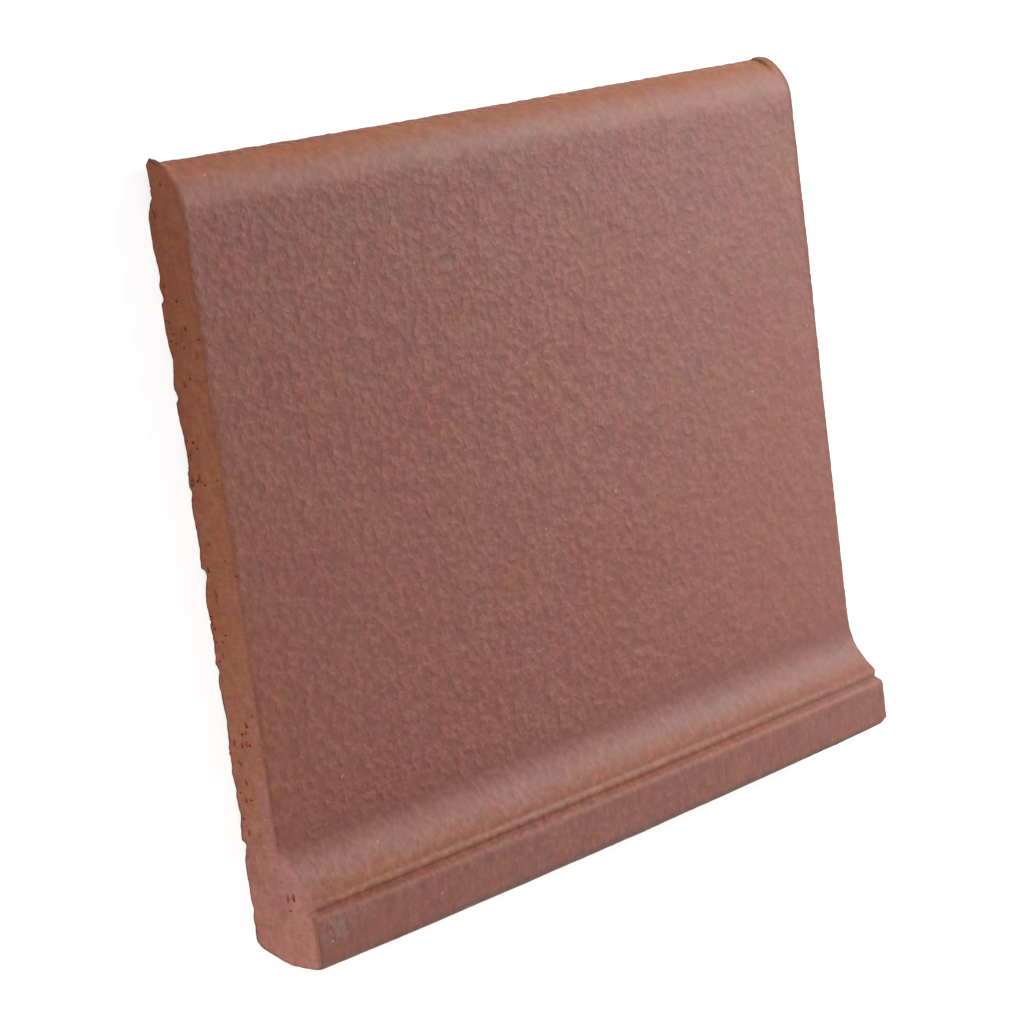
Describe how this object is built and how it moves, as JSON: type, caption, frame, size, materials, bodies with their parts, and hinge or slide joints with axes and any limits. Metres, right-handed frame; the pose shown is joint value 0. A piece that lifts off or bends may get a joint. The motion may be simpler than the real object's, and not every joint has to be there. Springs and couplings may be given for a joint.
{
  "type": "quarry cove base tile",
  "caption": "Unglazed quarry cove base tile: coved foot with a quirk and toe, rounded top, keyed back and wire-cut ends.",
  "frame": {"origin": "middle of the tile's bounding box, on the plane of the back's keys, with the tile lying on its back", "axes": "+X along the length, +Y from the foot to the rounded top, +Z out of the face"},
  "size_m": [0.1524, 0.1282, 0.0144],
  "materials": {
    "fired_clay": "unglazed, matt"
  },
  "bodies": {
    "root": {"cove_base_tile": "fired_clay"}
  },
  "joints": []
}
